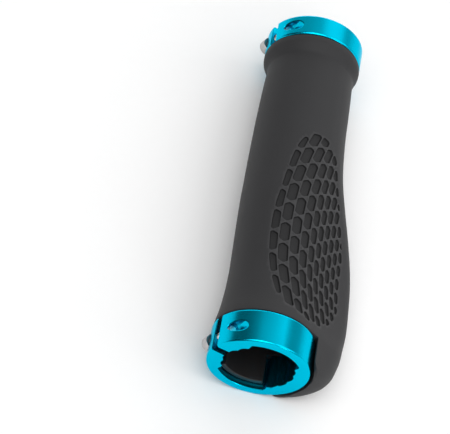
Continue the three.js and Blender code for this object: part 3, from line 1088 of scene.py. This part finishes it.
def floor_paper():
    """White paper with the faintest tooth."""
    finish = new_finish("white_paper")
    tooth = finish.noise(2.5, detail=3)
    return finish.surface(
        base_color=finish.blend(tooth, (0.955, 0.955, 0.955), (0.975, 0.975, 0.975)),
        roughness=0.95,
        specular_ior_level=0.1,
    )


# Studio
FLOOR_HALF = 4.0
PHOTO_DROOP = math.radians(33)
CAMERA_PLACE = (41.268, -381.970, 558.250)
CAMERA_RIGHT = (0.98698, 0.16087, 0)
CAMERA_UP = (-0.13338, 0.81833, 0.55907)
CAMERA_BACK = (0.08994, -0.55179, 0.82912)
CAMERA_LENS = 164.75
CAMERA_CLIP = 0.01
SOFTBOXES = {
    "key_softbox": dict(place=(0.55, 1.1, 0.8), size=(0.9, 0.9), power=1.4),
    "side_softbox": dict(place=(0.9, -0.1, 1.0), size=(1.0, 1.0), power=3.6),
    "top_softbox": dict(place=(-0.35, -0.45, 1.45), size=(1.3, 1.3), power=11.7),
    "front_softbox": dict(place=(0.75, -1.05, 0.6), size=(0.4, 0.4), power=1.7),
    "back_strip": dict(place=(0, 1.6, 0.34), size=(2.4, 0.4), power=4.5),
}
# The studio's walls from left to right, how high above the horizon they begin, and the plain wall at the back
WALLS = [
    (0, 0.06), (0.2, 0.09), (0.32, 0.26), (0.4, 0.52), (0.53, 0.68),
    (0.67, 0.85), (0.77, 0.66), (0.85, 0.32), (0.93, 0.45), (1, 0.8),
]
HORIZON = 0.85
WALL_START = (0.05, 0.2)
BACK_WALL = 0.62
BACK_WALL_START = (0.57, 0.63)


def add_floor():
    low = min(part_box(node)[0][2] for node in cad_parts)
    mesh = bpy.data.meshes.new("studio_floor")
    corner_signs = ((-1, -1), (1, -1), (1, 1), (-1, 1))
    mesh.from_pydata([(x * FLOOR_HALF, y * FLOOR_HALF, low) for x, y in corner_signs], [], [(0, 1, 2, 3)])
    mesh.materials.append(floor_paper())
    add_object("studio_floor", mesh)


def add_softbox(name, place, size, power):
    light = bpy.data.lights.new(name, "AREA")
    light.shape = "RECTANGLE"
    light.size, light.size_y = size
    light.energy = power
    lamp = bpy.data.objects.new(name, light)
    lamp.location = place
    lamp.rotation_euler = Vector(place).to_track_quat("Z", "Y").to_euler()
    bpy.context.scene.collection.objects.link(lamp)


def add_world():
    """The studio round the table: pale at the horizon and the back, dim on the left, bright on the right."""
    world = bpy.data.worlds.new("studio")
    bpy.context.scene.world = world
    studio = Finish(world)
    direction = studio.node("TexCoord", output="Generated")
    across = studio.node("SeparateXYZ", {}, {0: direction}, output="X")
    along = studio.node("SeparateXYZ", {}, {0: direction}, output="Y")
    height = studio.node("SeparateXYZ", {}, {0: direction}, output="Z")
    walls = studio.node("ValToRGB", {"stops": grey_stops(WALLS)}, {0: 0.5 + 0.5 * across})
    walls = studio.blend(studio.climb(along, *BACK_WALL_START), walls, (BACK_WALL,) * 3)
    above = studio.climb(height, *WALL_START)
    light = studio.node("Background", {}, {"Color": studio.blend(above, (HORIZON,) * 3, walls)})
    studio.node("OutputWorld", {}, {"Surface": light})


def add_camera():
    """The photograph's camera, found with the wing lower than it rests here, so it turns round the bar."""
    turn = Matrix.Rotation(DROOP - PHOTO_DROOP, 3, "Y")
    axes = [turn @ Vector(axis) for axis in (CAMERA_RIGHT, CAMERA_UP, CAMERA_BACK)]
    camera = bpy.data.objects.new("camera", bpy.data.cameras.new("camera"))
    camera.data.lens = CAMERA_LENS
    camera.data.clip_start = CAMERA_CLIP
    place = Matrix.Translation(turn @ Vector(CAMERA_PLACE) * MM)
    camera.matrix_world = place @ Matrix(axes).transposed().to_4x4()
    bpy.context.scene.collection.objects.link(camera)
    bpy.context.scene.camera = camera


def build():
    cyan, bright, dark = anodised(), steel(), nylon()
    grip_cover(rubber())
    inner_sleeve(dark)
    for end in ("outer", "inner"):
        lock_ring(end + "_lock_ring", cyan)
        pinch_bolt(end + "_pinch_bolt", bright)
    add_floor()
    for name, facts in SOFTBOXES.items():
        add_softbox(name, **facts)
    add_world()
    add_camera()


build()
bpy.context.scene.view_settings.view_transform = "Standard"
bpy.context.view_layer.update()
